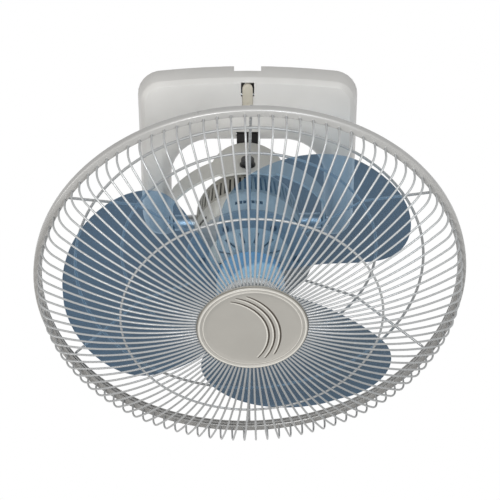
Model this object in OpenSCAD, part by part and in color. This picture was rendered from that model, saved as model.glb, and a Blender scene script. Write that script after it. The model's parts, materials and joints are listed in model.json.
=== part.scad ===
// Orbital ceiling fan: a caged fan head hangs in a two-axis gimbal below a
// U-shaped ceiling base, and a crank on the motor gearbox swings it in a cone.
// The origin is the centre of the gimbal seen on the ceiling face, +Z is up,
// and the fan hangs towards -Z. The near side of the base is -Y.

/* [Base] */
// Width of the housing at its bottom face
base_w = 238; // [226:1:250]
// Distance from the gimbal to the near edge of the housing
base_near = 148; // [144:1:156]
// Distance from the gimbal to the ends of the two legs
base_far = 50; // [40:1:70]
// Height of the housing below the ceiling
base_h = 24; // [22:1:27]
// How much wider the housing is at the ceiling, on each side
base_draft = 4; // [2:0.5:6]
// Radius of the two near corners
base_corner_r = 25; // [18:1:32]
// Crown of the near edge
base_bow = 5; // [2:0.5:8]
// Wall of the housing
housing_wall = 2.5; // [2:0.1:3]
// Width of the bevel round the bottom face
edge_bevel = 5; // [3:0.5:7]
// Width of the opening between the legs, at the ceiling
opening_w = 176; // [172:1:184]
// Distance from the gimbal to the near edge of the opening
opening_near = 65; // [62:1:68]
// Corner size of the opening
opening_corner = 48; // [38:1:56]
// Width of the dished lip at the near edge of the opening
lip_near = 36; // [30:1:40]
// Width of the dished lip along the legs
lip_side = 12; // [8:1:15]
// Thickness of the steel mounting plate
plate_t = 2; // [1.5:0.1:2.4]
// Screw spacing of the mounting plate across the fan
mount_dx = 208; // [204:1:212]
// Screw spacing of the mounting plate along the legs
mount_dy = 56; // [50:1:60]
// Diameter of the mounting screw holes
mount_hole_d = 6.5; // [5:0.1:8]
// Diameter of the hole through the cable grommet
cable_d = 10; // [8:0.5:12]

/* [Latch] */
// Width of the recess round the latch lever
recess_w = 14.5; // [13:0.5:18]
// Width of the latch lever
latch_w = 11; // [9:0.5:12]
// Length of the latch lever
latch_len = 26; // [24:0.5:28]

/* [Gimbal] */
// Distance from the ceiling to the crossing point of the gimbal axes
gimbal_drop = 74; // [72:1:78]
// Half-angle of the cone in which the head swings
orbit_tilt = 9; // [6:0.5:10]
// Where in its orbit the head stands
orbit_phase = 11.3; // [0:0.1:30]
// Half-width of the yoke, to the outside of its legs
yoke_half_w = 84; // [82:1:86]
// Distance from the roll axis crossing to the outside of the yoke's near strip
yoke_near = 71; // [71:0.5:73]
// Thickness of the yoke strip
yoke_t = 2.5; // [2:0.1:3]
// Height of the yoke strip
yoke_h = 31; // [26:1:36]
// Radius of the bowed near strip of the yoke
yoke_bow_r = 105; // [98:1:115]
// Radius of the upright lug of the yoke
lug_r = 38; // [34:1:39]
// Height of the lug's centre above the roll axis
lug_rise = 12; // [9:0.5:12]
// Diameter of the roll pin
roll_pin_d = 8; // [6:0.5:9]
// Diameter of the trunnion pins
trunnion_d = 8; // [6:0.5:9]
// Width of the pivot bracket strap
bracket_w = 24; // [20:1:28]
// Thickness of the pivot bracket strap
bracket_t = 3; // [2.5:0.1:3.4]
// Distance from the gimbal to the centre of the crank ball
crank_reach = 46; // [45:0.5:47]
// Diameter of the crank ball
ball_d = 7; // [6:0.5:8]

/* [Motor] */
// Radius of the motor covers where they meet
motor_r = 58.5; // [57:0.5:60]
// Wall of the motor covers
cover_t = 2; // [1.6:0.1:2.4]
// Height of the rear cover's top above the gimbal
rear_top = 24; // [22:0.5:25]
// Depth of the front cover's face below the gimbal
front_face = 60; // [58:0.5:62]
// Number of vent slots round the rear cover
vent_count = 64; // [40:4:72]
// Width of a vent slot
vent_w = 2.4; // [1.6:0.1:3]
// Diameter of the motor shaft
shaft_d = 8; // [7:0.5:9]
// Length of the stator stack
stack_len = 30; // [24:1:32]

/* [Guard] */
// Outer radius of the guard
rim_r = 226; // [222:1:235]
// Depth of the guard rim below the gimbal
rim_depth = 98; // [96:0.5:102]
// Width of the rim band
rim_w = 8.5; // [7:0.5:10]
// Height of the rim band
rim_h = 9; // [7:0.5:11]
// Number of front spokes
spoke_count = 104; // [60:4:112]
// Diameter of a front spoke
spoke_d = 2.2; // [1.8:0.1:2.4]
// Radius of the domed front of the guard
dome_r = 300; // [280:5:340]
// Straight end of a spoke below the rim
spoke_stand = 9.8; // [7:0.1:14]
// Radius at which the front is deepest
dome_flat_r = 69; // [60:1:76]
// Radius of the bend where a spoke turns back to the rim
spoke_bend_r = 20; // [16:1:24]
// Radius of the front middle ring
mid_ring_r = 134.6; // [120:0.2:150]
// Diameter of the front middle ring's wire
mid_ring_d = 2.4; // [2:0.1:3]
// Diameter of the rear guard's wires
rear_wire_d = 2.9; // [2.4:0.1:3.4]
// Number of rear ribs
rib_count = 6; // [4:1:8]
// Radius of the inner rear ring
rear_ring1_r = 136; // [125:1:145]
// Radius of the outer rear ring
rear_ring2_r = 184; // [175:1:190]
// Radius of the centre badge
badge_r = 57; // [52:0.5:62]

/* [Blades] */
// Radius swept by the blade tips
blade_r = 196; // [185:1:202]
// Number of blades
blade_count = 3; // [2:1:3]
// Thickness of a blade
blade_t = 2.2; // [1.6:0.1:2.8]
// Radius of the blade hub
blade_hub_r = 36; // [33:0.5:38]
// Depth of the blades' middle plane below the gimbal
blade_depth = 108.5; // [106:0.5:112]
// Blade angle at the hub
pitch_root = 20; // [16:0.5:24]
// Blade angle at the tip
pitch_tip = 9; // [7:0.5:11]

/* [Gears] */
// Teeth of the first worm wheel
wheel1_teeth = 20; // [20:1:24]
// Teeth of the second worm wheel
wheel2_teeth = 20; // [20:1:24]
// Teeth of the lay shaft pinion
pinion_teeth = 10; // [10:1:12]
// Teeth of the output gear
output_teeth = 26; // [24:1:28]
// Distance from the head axis to the lay shaft
lay_x = 15; // [14.5:0.5:15.5]
// Distance from the head axis to the cross shaft
cross_y = 11.5; // [11.2:0.1:12]

/* [Hidden] */
$fn = 48;

seat = 0.1;             // gap between pieces that rest on each other
run = 0.06;             // radial clearance of a pin or shaft in its bush
eps = 0.02;             // overlap of solids that are joined into one

// Colours
grey = "#b9b4ad";
light = "#cfcac2";
dark = "#2b2a29";
steel = "#a9abad";
brass = "#b08d4a";
copper = "#a8642f";
blue = "#5f8fc4";
cream = "#d8d2bd";

// The head's pose at rest: a cone of orbit_tilt about the vertical
rest_pitch = asin(sin(orbit_tilt) * cos(orbit_phase));
rest_roll = -asin(sin(orbit_tilt) * sin(orbit_phase) / cos(rest_pitch));
// Direction, in the head, of the fixed point above the gimbal that holds the ball
crank_angle = atan2(cos(rest_roll) * sin(rest_pitch), -sin(rest_roll));
crank_r = crank_reach * sin(orbit_tilt);
ball_z = crank_reach * cos(orbit_tilt);

module at_gimbal() translate([0, 0, -gimbal_drop]) children();
module in_yoke() at_gimbal() rotate([0, rest_roll, 0]) children();
module in_head() at_gimbal() rotate([rest_pitch, rest_roll, 0]) children();

// ---- helpers -----------------------------------------------------------

// A cylinder along X, from x0 to x1
module rod_x(x0, x1, r) translate([x0, 0, 0]) rotate([0, 90, 0]) cylinder(h = x1 - x0, r = r);

// A cylinder along Y, from y0 to y1
module rod_y(y0, y1, r) translate([0, y0, 0]) rotate([-90, 0, 0]) cylinder(h = y1 - y0, r = r);

// A flat ring between two heights
module ring(z0, z1, r_in, r_out) translate([0, 0, z0]) difference() {
  cylinder(h = z1 - z0, r = r_out);
  translate([0, 0, -1]) cylinder(h = z1 - z0 + 2, r = r_in);
}

// A solid through equal rings of points, which turn counter-clockwise seen from the last one
module loft(rings) {
  n = len(rings[0]);
  m = len(rings);
  points = [for (one = rings) each one];
  sides = [for (j = [0 : m - 2]) for (i = [0 : n - 1]) let (k = (i + 1) % n)
    each [[j * n + i, (j + 1) * n + k, j * n + k], [j * n + i, (j + 1) * n + i, (j + 1) * n + k]]];
  bottom = [for (i = [0 : n - 1]) i];
  top = [for (i = [n - 1 : -1 : 0]) (m - 1) * n + i];
  polyhedron(points, concat([bottom], sides, [top]), convexity = 8);
}

// A wire bent in the XZ plane along a path of [x, z] points
function unit(v) = v / norm(v);
function path_slope(path, i) = let (
    last = len(path) - 1,
    here = path[i],
    before = i > 0 ? unit(here - path[i - 1]) : [0, 0],
    after = i < last ? unit(path[i + 1] - here) : [0, 0],
    way = before + after)
  atan2(way[1], way[0]);
function wire_section(p, slope, r, sides) = [for (k = [0 : sides - 1]) let (a = 360 * k / sides)
  [p[0] - r * cos(a) * sin(slope), -r * sin(a), p[1] + r * cos(a) * cos(slope)]];
module bent_wire(path, r, sides) loft([for (i = [0 : len(path) - 1])
  wire_section(path[i], path_slope(path, i), r, sides)]);

// The rounded corner at b between the legs to a and c, as points on an arc of radius r
function bend(a, b, c, r, steps) = let (
    u = unit(a - b),
    w = unit(c - b),
    half = acos(u * w) / 2,
    centre = b + unit(u + w) * r / sin(half),
    from = unit(b + u * r / tan(half) - centre),
    to = unit(b + w * r / tan(half) - centre))
  [for (i = [0 : steps]) centre + r * unit(from * (steps - i) + to * i)];

// A pan-head screw along -Z, with its head's underside at z = 0
module screw(shank_r, length, head_r, head_h) {
  difference() {
    cylinder(h = head_h, r = head_r);
    for (turn = [0, 90]) rotate(turn)
      translate([-head_r * 0.6, -head_r * 0.11, head_h * 0.5]) cube([head_r * 1.2, head_r * 0.22, head_h]);
  }
  translate([0, 0, -length]) cylinder(h = length + eps, r = shank_r);
}

// ---- base --------------------------------------------------------------

base_hw = base_w / 2;
far_corner_r = 18;
arc_steps = 7;

// Outline of the housing, grown by off, at height z
function arc_points(cx, cy, rx, ry, a0, a1, steps) =
  [for (i = [0 : steps]) let (a = a0 + (a1 - a0) * i / steps) [cx + rx * cos(a), cy + ry * sin(a)]];
function crown_points(w, y, bow, steps) =
  [for (i = [1 : steps - 1]) let (x = -w + 2 * w * i / steps) [x, y - bow * (1 - pow(x / w, 2))]];
function housing_outline(off, z) = let (
    r = base_corner_r, rf = far_corner_r,
    near_y = -(base_near - base_bow),
    side = base_hw - r,
    flat = concat(
      arc_points(-side, near_y + r, r + off, r + off, 180, 270, arc_steps),
      crown_points(side, near_y - off, base_bow, 8),
      arc_points(side, near_y + r, r + off, r + off, 270, 360, arc_steps),
      arc_points(base_hw - rf, base_far - rf, rf + off, rf + off, 0, 90, arc_steps),
      arc_points(-(base_hw - rf), base_far - rf, rf + off, rf + off, 90, 180, arc_steps)))
  [for (p = flat) [p[0], p[1], z]];

// The opening's dished lip is a quarter of an ellipse from the ceiling to the bottom face
lip_steps = 6;
function opening_outline(side_off, near_off, z) = let (
    hw = opening_w / 2 + side_off, c = opening_corner,
    far = base_far + 40,
    flat = concat(
      arc_points(-(hw - c), -(opening_near + near_off) + c, c, c, 180, 270, arc_steps + 3),
      arc_points(hw - c, -(opening_near + near_off) + c, c, c, 270, 360, arc_steps + 3),
      [[hw, far], [-hw, far]]))
  [for (p = flat) [p[0], p[1], z]];
function lip_side_at(t) = lip_side * (1 - cos(90 * t));
function lip_near_at(t) = lip_near * (1 - cos(90 * t));

// The space of the opening; wall thickens it, for the skin behind the lip
lip_h = base_h + 0.4;
module opening_space(wall) loft(concat(
  [opening_outline(lip_side + wall, lip_near + wall, -base_h - 3)],
  [for (i = [lip_steps : -1 : 1]) let (t = i / lip_steps)
    opening_outline(lip_side_at(t) + wall, lip_near_at(t) + wall, -lip_h * sin(90 * t) + wall)],
  [opening_outline(wall, wall, 3 + wall)]));

module housing_block(inset) loft([
  housing_outline(-edge_bevel - inset * 0.6, -base_h + inset),
  housing_outline(-inset, -base_h + edge_bevel + inset * 0.4),
  housing_outline(base_draft - inset, inset > 0 ? 1 : 0)]);

boss_leg_y = -62;
boss_at = [[-mount_dx / 2, boss_leg_y], [mount_dx / 2, boss_leg_y], [-78, -122], [78, -122]];
boss_r = 4;
notch_w = 30;
notch_depth = 8;
latch_pivot_y = -128;
latch_pivot_z = -base_h + 4.5;
latch_pin_r = 1.5;
latch_near = latch_pivot_y - 14.5;
recess_far = latch_pivot_y + 1;
latch_swing = 1.4;      // room for the lever's far end as it tips

module base_housing() color(grey) difference() {
  union() {
    difference() {
      housing_block(0);
      difference() {
        housing_block(housing_wall);
        opening_space(housing_wall);
      }
      opening_space(0);
    }
    for (p = boss_at) translate([p[0], p[1], -base_h + housing_wall - eps])
      cylinder(h = base_h - housing_wall - plate_t - seat + eps, r = boss_r);
    // ears that hold the latch pin
    for (side = [-1, 1]) translate([side * (recess_w / 2 + 2.2) - 1.2, latch_pivot_y - 3.2, -base_h + 1])
      cube([2.4, 6.4, latch_pivot_z + base_h + 2]);
  }
  for (p = boss_at) translate([p[0], p[1], -15]) cylinder(h = 20, r = 1.65);
  // notch in the near wall, at the ceiling
  translate([-notch_w / 2, -base_near - 10, -notch_depth]) cube([notch_w, 14, notch_depth + 2]);
  // recess of the latch lever, with a narrow part that the lever fills
  translate([-recess_w / 2, latch_near - 1.5, -base_h - 1])
    cube([recess_w, recess_far - latch_near + 1.5, housing_wall + 1.6]);
  translate([-latch_w / 2 - 0.4, latch_near, -base_h - 1])
    cube([latch_w + 0.8, latch_len + latch_swing, housing_wall + 1.6]);
  translate([0, latch_pivot_y, latch_pivot_z]) rod_x(-20, 20, latch_pin_r + 0.06);
  // slot that the pivot bracket comes out of
  translate([-bracket_w / 2 - 1, bracket_drop_y - 1.5, -base_h - 1])
    cube([bracket_w + 2, bracket_t + 4.5, base_h]);
}

plate_hw = 116;
plate_leg = 93;
plate_corner = 24;
grommet_at = [64, -128];
terminal_at = [-62, -104];
capacitor_at = [48, -98];
bracket_screw_at = [[0, -106], [-7, -94], [7, -94]];
near_hole_x = 34;
near_hole_y = -128;

module mounting_plate() color(steel) difference() {
  translate([0, 0, -plate_t]) linear_extrude(plate_t) union() {
    for (side = [-1, 1]) {
      translate([side * (plate_hw - plate_corner), -base_near + 8 + plate_corner]) circle(r = plate_corner);
      translate([side > 0 ? plate_leg : -plate_hw, -base_near + 8 + plate_corner])
        square([plate_hw - plate_leg, base_near - 8 - plate_corner + base_far - 10]);
    }
    translate([-plate_hw + plate_corner, -base_near + 8])
      square([2 * (plate_hw - plate_corner), base_near - 8 - opening_near - 6]);
    translate([-plate_hw, -base_near + 8 + plate_corner])
      square([2 * plate_hw, base_near - 8 - plate_corner - opening_near - 6]);
  }
  for (sx = [-0.5, 0.5], sy = [-0.5, 0.5]) translate([sx * mount_dx, sy * mount_dy, -plate_t - 1])
    cylinder(h = plate_t + 2, r = mount_hole_d / 2);
  for (sx = [-1, 1]) translate([sx * near_hole_x, near_hole_y, -plate_t - 1])
    cylinder(h = plate_t + 2, r = mount_hole_d / 2);
  for (p = boss_at) translate([p[0], p[1], -plate_t - 1]) cylinder(h = plate_t + 2, r = 2);
  translate([grommet_at[0], grommet_at[1], -plate_t - 1]) cylinder(h = plate_t + 2, r = cable_d / 2 + 2);
  for (p = bracket_screw_at) translate([p[0], p[1], -plate_t - 1]) cylinder(h = plate_t + 2, r = 2.1);
  // countersinks keep every screw head below the ceiling face
  for (p = concat(boss_at, bracket_screw_at)) translate([p[0], p[1], -1.2]) cylinder(h = 2, r = 4.2);
}

module housing_screws() color(steel) for (p = boss_at)
  translate([p[0], p[1], -1.2 + seat]) screw(1.6, 12, 3.9, 1);

module cable_grommet() color(dark) translate([grommet_at[0], grommet_at[1], 0]) difference() {
  union() {
    ring(-plate_t - 0.2, -0.1, cable_d / 2, cable_d / 2 + 1.9);
    ring(-plate_t - 3, -plate_t - seat, cable_d / 2, cable_d / 2 + 4);
  }
}

module terminal_block() color("#24262a") translate([terminal_at[0], terminal_at[1], -plate_t - seat])
  difference() {
    translate([-17, -8, -12]) cube([34, 16, 12]);
    for (i = [-1 : 1]) {
      for (s = [-1, 1]) translate([i * 10.5, s * 4, -13]) cylinder(h = 9, r = 2.1);
      translate([i * 10.5 - 2.6, -9, -7.5]) cube([5.2, 4, 4.5]);
      translate([i * 10.5 - 2.6, 5, -7.5]) cube([5.2, 4, 4.5]);
    }
    for (i = [-1, 1]) translate([i * 5.25 - 0.6, -9, -13]) cube([1.2, 18, 4]);
  }

module capacitor() color("#e4e2dc") translate([capacitor_at[0], capacitor_at[1], -plate_t - seat]) {
  translate([-18, -8, -15]) cube([36, 16, 15]);
  for (s = [-1, 1]) translate([s * 12, 8 - eps, -8]) rotate([-90, 0, 0]) cylinder(h = 5, r = 1.2);
}

// ---- pivot bracket and crank anchor ------------------------------------

yoke_inner_y = -yoke_near + yoke_t;
bracket_stand = 2.2;    // room for the bowed yoke as it rolls past the strap
ear_near_y = yoke_inner_y + bracket_stand;
ear_far_y = ear_near_y + bracket_t;
ear_w = bracket_w - 4;
lug_top = lug_rise + lug_r;
arm_z = -gimbal_drop + lug_top + 2;
bracket_drop_y = -81;
flange_z = -plate_t - seat - bracket_t;

module pivot_bracket() color(dark) difference() {
  union() {
    translate([-bracket_w / 2, bracket_drop_y - 34, flange_z]) cube([bracket_w, 37, bracket_t]);
    translate([-bracket_w / 2, bracket_drop_y, arm_z]) cube([bracket_w, bracket_t, flange_z - arm_z + eps]);
    translate([-bracket_w / 2, bracket_drop_y, arm_z])
      cube([bracket_w, ear_far_y - bracket_drop_y, bracket_t]);
    translate([-ear_w / 2, ear_near_y, -gimbal_drop]) cube([ear_w, bracket_t, arm_z + gimbal_drop + eps]);
    at_gimbal() rod_y(ear_near_y, ear_far_y, ear_w / 2);
  }
  at_gimbal() rod_y(-100, 0, roll_pin_d / 2 + 0.05);
  for (p = bracket_screw_at) translate([p[0], p[1], flange_z - 1]) cylinder(h = 10, r = 1.7);
  for (s = [-1, 1]) translate([s * 7, 0, anchor_screw_z]) rod_y(-100, 0, 1.7);
}

module bracket_screws() color(steel) for (p = bracket_screw_at)
  translate([p[0], p[1], -1.2 + seat]) screw(1.65, 7, 3.9, 1);

anchor_t = 3;
anchor_near = ear_far_y + seat;
anchor_z = arm_z + bracket_t;
anchor_screw_z = arm_z - 9;
anchor_boss_r = 13;
dish_r = crank_reach + ball_d / 2 + 0.3;

// A strap above the gearbox whose boss has a dish centred on the gimbal: the
// crank ball runs just under it at every tilt of the head
module crank_anchor() color(dark) difference() {
  union() {
    translate([-9, anchor_near, anchor_z]) cube([18, -anchor_near, anchor_t]);
    translate([0, 0, anchor_z]) cylinder(h = anchor_t, r = anchor_boss_r);
    translate([0, 0, anchor_z - 6]) cylinder(h = 6 + eps, r = anchor_boss_r);
    translate([-ear_w / 2, anchor_near, anchor_screw_z - 5])
      cube([ear_w, anchor_t, anchor_z + anchor_t - anchor_screw_z + 5]);
    for (s = [-1, 1]) translate([s * 8 - 1, anchor_near + anchor_t - eps, anchor_z - 4])
      cube([2, -anchor_near - anchor_t - 10, 4 + eps]);
  }
  at_gimbal() sphere(r = dish_r, $fn = 96);
  for (s = [-1, 1]) translate([s * 7, 0, anchor_screw_z]) rod_y(-100, 0, 1.7);
}

module anchor_screws() color(steel) for (s = [-1, 1])
  translate([s * 7, anchor_near + anchor_t + seat, anchor_screw_z]) rotate([-90, 0, 0])
    screw(1.65, anchor_t + bracket_t + seat, 3, 1.8);

module roll_pin() color(steel) at_gimbal() {
  rod_y(-yoke_near - 6, ear_far_y + 1, roll_pin_d / 2);
  rod_y(ear_far_y + seat, ear_far_y + 2.3, roll_pin_d / 2 + 2.5);
}

bush_flange_t = 1.1;

// Black cap nut on the near end of the roll pin
module pivot_cap() color(dark) at_gimbal() rotate([90, 0, 0]) rotate_extrude() difference() {
  union() {
    translate([0, yoke_near + bush_flange_t + 0.4]) square([6, 6.6]);
    translate([0, yoke_near + bush_flange_t + 0.4]) square([7, 5.6]);
    translate([6, yoke_near + bush_flange_t + 6]) circle(r = 1);
  }
  square([roll_pin_d / 2 + 0.05, yoke_near + 6.1]);
  translate([-10, 0]) square([10, 200]);
}

// ---- latch ---------------------------------------------------------------

latch_t = 3;
latch_floor = -base_h - 1.3;

module latch_lever() color(cream) difference() {
  union() {
    translate([0, latch_near + latch_w / 2, latch_floor]) cylinder(h = latch_t, r = latch_w / 2);
    translate([-latch_w / 2, latch_near + latch_w / 2, latch_floor])
      cube([latch_w, latch_len - latch_w / 2, latch_t]);
    translate([0, latch_pivot_y, latch_pivot_z]) rod_x(-latch_w / 2, latch_w / 2, 3);
    translate([-latch_w / 2, latch_pivot_y - 3, latch_floor + 0.5])
      cube([latch_w, 6, latch_pivot_z - latch_floor - 0.5]);
    // finger that hooks over the mounting plate's catch
    translate([-3, latch_pivot_y - 9, latch_floor + latch_t - eps]) cube([6, 2.4, 15]);
  }
  translate([0, latch_pivot_y, latch_pivot_z]) rod_x(-20, 20, latch_pin_r + 0.05);
  translate([0, latch_near + latch_len - 3, latch_floor - 1]) cylinder(h = 1.8, r = 0.9);
}

module latch_pin() color(steel) translate([0, latch_pivot_y, latch_pivot_z])
  rod_x(-recess_w / 2 - 3.2, recess_w / 2 + 3.2, latch_pin_r);

spring_root_y = latch_pivot_y - 3;
spring_tip_y = latch_near + latch_len - 3;
spring_top = -plate_t - seat;
spring_tip_z = latch_floor + latch_t + seat;
spring_t = 0.6;
spring_w = 7;

// Leaf spring under the mounting plate that holds the far end of the lever down
module latch_spring() color(steel) translate([-spring_w / 2, 0, 0]) rotate([90, 0, 90])
  linear_extrude(spring_w) polygon([[spring_root_y, spring_top], [spring_root_y + 7, spring_top],
    [spring_tip_y, spring_tip_z], [spring_tip_y - spring_t, spring_tip_z],
    [spring_root_y + 7 - spring_t, spring_top - spring_t], [spring_root_y, spring_top - spring_t]]);

// ---- yoke ----------------------------------------------------------------

yoke_corner = 18;
yoke_cy = yoke_bow_r - yoke_near;
yoke_half_arc = asin((yoke_half_w - yoke_corner) / (yoke_bow_r - yoke_corner));
corner_x = (yoke_bow_r - yoke_corner) * sin(yoke_half_arc);
corner_y = yoke_cy - (yoke_bow_r - yoke_corner) * cos(yoke_half_arc);
leg_end = 11;
strip_low = -leg_end;

// Plan of the strip, drawn in by inset: the right half of the outline, from the middle outwards
function yoke_half_plan(inset) = concat(
  arc_points(0, yoke_cy, yoke_bow_r - inset, yoke_bow_r - inset, 270, 270 + yoke_half_arc, 14),
  arc_points(corner_x, corner_y, yoke_corner - inset, yoke_corner - inset, 270 + yoke_half_arc, 360, 6),
  [[yoke_half_w - inset, leg_end + 1]]);
function mirrored(points) = [for (i = [len(points) - 1 : -1 : 0]) [-points[i][0], points[i][1]]];
function yoke_plan(inset) = concat(mirrored(yoke_half_plan(inset)), yoke_half_plan(inset));

module yoke() color(light) in_yoke() difference() {
  intersection() {
    translate([0, 0, strip_low - 10]) linear_extrude(200) difference() {
      polygon(yoke_plan(0));
      polygon(concat(yoke_plan(yoke_t), [[yoke_half_w - yoke_t, 30], [yoke_t - yoke_half_w, 30]]));
    }
    // seen from the near side: the strip and its upright lug
    rotate([90, 0, 0]) translate([0, 0, -50]) linear_extrude(200) union() {
      translate([-100, strip_low]) square([200, yoke_h]);
      translate([0, lug_rise]) circle(r = lug_r);
    }
    // seen from the side: each leg tapers to a round end
    rotate([90, 0, 90]) translate([0, 0, -100]) linear_extrude(200)
      polygon(concat([[-100, strip_low - 5], [-30, strip_low - 5], [-30, strip_low]],
        arc_points(0, 0, leg_end, leg_end, 270, 460, 16),
        [[-36, strip_low + yoke_h], [-45, strip_low + yoke_h + 1], [-45, 100], [-100, 100]]));
  }
  rod_y(-100, -20, roll_pin_d / 2 + 1.6);
  rod_y(-yoke_near + yoke_t - 0.05, -20, 9);
  rod_x(-100, 100, trunnion_d / 2 + 1.6);
}

module roll_bush() color(dark) in_yoke() difference() {
  union() {
    rod_y(-yoke_near - 0.3, yoke_inner_y + 0.3, roll_pin_d / 2 + 1.5);
    rod_y(-yoke_near - seat - bush_flange_t + 0.1, -yoke_near - seat, 8.5);
    rod_y(yoke_inner_y + seat, ear_near_y - seat, 8.5);
  }
  rod_y(-100, 0, roll_pin_d / 2 + run);
}

module trunnion_bushes() color(dark) in_yoke() for (side = [0, 1]) mirror([side, 0, 0]) difference() {
  union() {
    rod_x(yoke_half_w - yoke_t - 0.3, yoke_half_w + 0.3, trunnion_d / 2 + 1.5);
    rod_x(yoke_half_w - yoke_t - 1.5, yoke_half_w - yoke_t - seat, 7.5);
    rod_x(yoke_half_w + seat, yoke_half_w + 1.5, 7.5);
  }
  rod_x(0, 100, trunnion_d / 2 + run);
}

// ---- motor head ----------------------------------------------------------

arm_end = yoke_half_w - yoke_t - 1.8;
stator_r = 40;
frame_r = stator_r + 3;
frame_low = -40;
frame_high = 9;
arm_r = 8.5;
bearing_r = 8;
bearing_fit = 0.02;
rear_bearing_z = 4.5;
shaft_r = shaft_d / 2;

module motor_frame() color(steel) in_head() difference() {
  union() {
    ring(frame_low, frame_high, stator_r, frame_r);
    ring(frame_high - 1, frame_high + 2, bearing_r + bearing_fit, frame_r);
    ring(rear_bearing_z - 1, frame_high - 1 + eps, bearing_r + bearing_fit, bearing_r + 3);
    for (side = [0, 1]) mirror([side, 0, 0]) difference() {
      rod_x(stator_r + 1.5, arm_end, arm_r);
      rod_x(arm_end - 11, arm_end + 1, trunnion_d / 2 + 0.03);
    }
  }
  for (a = [45 : 90 : 315]) rotate(a) translate([stator_r * 0.6, 0, frame_high - 4]) cylinder(h = 10, r = 5);
}

module trunnion_pins() color(steel) in_head() for (side = [0, 1]) mirror([side, 0, 0]) {
  rod_x(arm_end - 10.5, yoke_half_w + 2, trunnion_d / 2);
  rod_x(yoke_half_w + 1.8, yoke_half_w + 4.2, trunnion_d / 2 + 2);
}

// Outline of a motor cover, outside radius against height
vent_low = -15;
vent_high = 11;
split_z = -20;

module rear_cover() color(cream) in_head() difference() {
  rotate_extrude($fn = 96) difference() {
    union() {
      polygon([[31, split_z], [motor_r, split_z], [motor_r - 3, rear_top - 10], [motor_r - 12, rear_top],
        [31, rear_top]]);
      intersection() {
        translate([motor_r - 13, rear_top - 10]) circle(r = 10);
        translate([motor_r - 13, rear_top - 10]) square(20);
      }
    }
    polygon([[0, split_z - 1], [motor_r - cover_t, split_z - 1], [motor_r - 3 - cover_t, rear_top - 10],
      [motor_r - 12 - cover_t / 2, rear_top - cover_t], [0, rear_top - cover_t]]);
    square([31, 60]);
  }
  for (i = [0 : vent_count - 1]) let (a = (i + 0.5) * 360 / vent_count)
    if (abs(cos(a)) < 0.96) rotate(a)
      translate([motor_r - 12, -vent_w / 2, vent_low]) cube([20, vent_w, vent_high - vent_low]);
  rod_x(-yoke_half_w, yoke_half_w, arm_r + 0.3);
}

module front_cover() color(cream) in_head() difference() {
  union() {
    difference() {
      rotate_extrude($fn = 96) difference() {
        union() {
          polygon([[0, -front_face], [motor_r - 6, -front_face], [motor_r + 1.5, -front_face + 8],
            [motor_r, split_z - seat], [0, split_z - seat]]);
        }
        polygon([[0, -front_face + cover_t], [motor_r - 7, -front_face + cover_t],
          [motor_r - 0.7, -front_face + 8.8], [motor_r - cover_t - 0.2, split_z + 1], [0, split_z + 1]]);
      }
      for (a = [15 : 30 : 345]) rotate(a) translate([20, -1.5, -front_face - 1]) cube([16, 3, 5]);
    }
    ring(-front_face + 1, -front_face + 10, bearing_r + bearing_fit, bearing_r + 3);
    ring(-front_face + 1, frame_low - seat, stator_r - 1, frame_r);
  }
  translate([0, 0, -front_face - 1]) cylinder(h = 3, r = shaft_r + 0.6);
  for (a = collar_screw_angles) rotate(a) translate([collar_screw_r, 0, -front_face - 1])
    cylinder(h = 5, r = 1.6);
}

stack_top = -6;
rotor_r = 23.6;
air_gap = 0.5;
coil_rise = 4.6;        // from the stack's face to the middle of a coil

module stator_core() color("#8b8d90") in_head() difference() {
  ring(stack_top - stack_len, stack_top, rotor_r + air_gap, stator_r - 0.05);
  for (a = [0 : 30 : 330]) rotate(a) translate([rotor_r + 2.9, -2.6, stack_top - stack_len - 1])
    cube([9, 5.2, stack_len + 2]);
}

// Two coil ends with rounded corners
coil_in = rotor_r + 3.4;
coil_w = 10;
coil_h = 9;
coil_round = 1.5;

module windings() color(copper) in_head()
  for (z = [stack_top + coil_rise, stack_top - stack_len - coil_rise]) rotate_extrude() union() {
    translate([coil_in, z - coil_h / 2 + coil_round]) square([coil_w, coil_h - 2 * coil_round]);
    translate([coil_in + coil_round, z - coil_h / 2]) square([coil_w - 2 * coil_round, coil_h]);
    for (x = [coil_round, coil_w - coil_round], s = [-1, 1])
      translate([coil_in + x, z + s * (coil_h / 2 - coil_round)]) circle(r = coil_round);
  }

module bearing(z0, z1) {
  ring(z0, z1, bearing_r - 1.6, bearing_r);
  ring(z0, z1, shaft_r + run, shaft_r + 1.4);
  ring(z0 + 1, z1 - 1, shaft_r + 1.4 - eps, bearing_r - 1.6 + eps);
}

module rear_bearing() color(steel) in_head() bearing(rear_bearing_z, rear_bearing_z + 6);
module front_bearing() color(steel) in_head() bearing(-front_face + 2.5, -front_face + 9);

// ---- gearbox -------------------------------------------------------------

case_r = 30;
case_wall = 2;
case_floor = 11 + seat;
case_top = 32;
cross_z = 21;
post_w = 3;
journal_r = 2;
post_x = [-12.5, 21];

module gearbox_case() color(grey) in_head() difference() {
  union() {
    ring(case_floor, case_top, case_r - case_wall, case_r);
    ring(case_floor, case_floor + case_wall, shaft_r + 0.6, case_r - case_wall + eps);
    for (x = post_x) translate([x, -cross_y - 3, case_floor + 1])
      cube([post_w, 6, cross_z + 3 - case_floor - 1]);
  }
  translate([0, -cross_y, cross_z]) rod_x(-16, 25, journal_r + run);
  translate([lay_x, 0, case_floor - 1]) cylinder(h = 4, r = journal_r + run);
}

cover_z = case_top + seat;

module gearbox_cover() color(grey) in_head() difference() {
  union() {
    translate([0, 0, cover_z]) cylinder(h = 2.2, r = case_r);
    translate([0, 0, cover_z]) cylinder(h = 3.2, r = case_r - 5);
  }
  translate([0, 0, cover_z - 1]) cylinder(h = 6, r = 3 + run);
  translate([lay_x, 0, cover_z - 1]) cylinder(h = 3, r = journal_r + run);
}

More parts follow.
